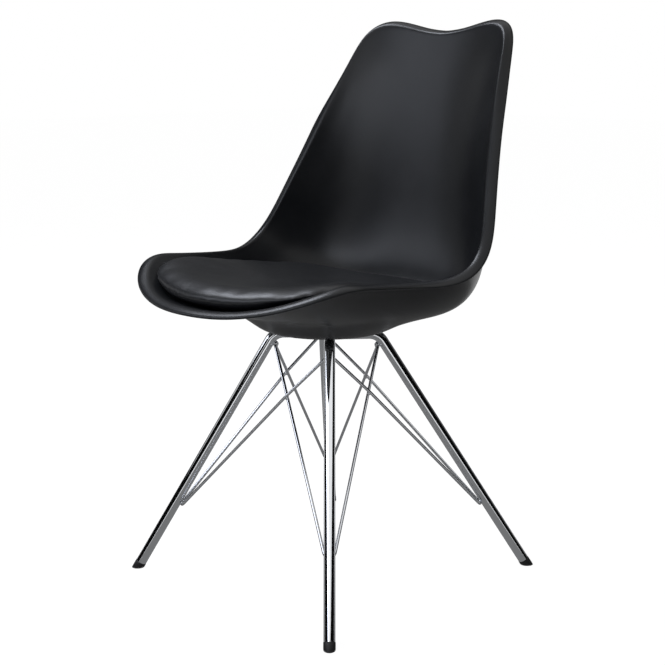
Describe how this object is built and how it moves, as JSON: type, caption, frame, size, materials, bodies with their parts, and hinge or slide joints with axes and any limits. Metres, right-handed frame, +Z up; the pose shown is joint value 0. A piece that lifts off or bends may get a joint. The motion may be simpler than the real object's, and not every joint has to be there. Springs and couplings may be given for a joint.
{
  "type": "padded shell dining chair",
  "caption": "Moulded plastic bucket-shell dining chair with a padded seat on splayed, chromed tube legs braced by crossing wires.",
  "frame": {"origin": "on the floor, below the middle of the chair's bounding box", "axes": "+Z up, -Y the way the sitter looks, +X towards the sitter's left"},
  "size_m": [0.4658, 0.544, 0.8234],
  "materials": {
    "shell_plastic": "satin",
    "pad_leather": "satin",
    "pad_filling": "matte",
    "board_plywood": "matte",
    "tube_chrome": "polished",
    "wire_chrome": "polished",
    "weld_chrome": "polished",
    "plate_steel": "satin",
    "fastener_steel": "satin",
    "insert_brass": "satin",
    "buffer_rubber": "matte",
    "glide_plastic": "matte"
  },
  "bodies": {
    "root": {"seat_shell": "shell_plastic", "shell_inserts": "insert_brass", "mount_buffers": "buffer_rubber", "frame_washers": "fastener_steel", "frame_bolts": "fastener_steel", "mount_plate": "plate_steel", "pad_board": "board_plywood", "pad_screws": "fastener_steel", "pad_foam": "pad_filling", "pad_cover": "pad_leather", "crossing_welds": "weld_chrome", "brace_welds": "weld_chrome", "run_welds": "weld_chrome", "leg_front_left": "tube_chrome", "foot_glide_front_left": "glide_plastic", "brace_front_left": "wire_chrome", "leg_rear_left": "tube_chrome", "foot_glide_rear_left": "glide_plastic", "brace_rear_left": "wire_chrome", "leg_rear_right": "tube_chrome", "foot_glide_rear_right": "glide_plastic", "brace_rear_right": "wire_chrome", "leg_front_right": "tube_chrome", "foot_glide_front_right": "glide_plastic", "brace_front_right": "wire_chrome"}
  },
  "joints": []
}
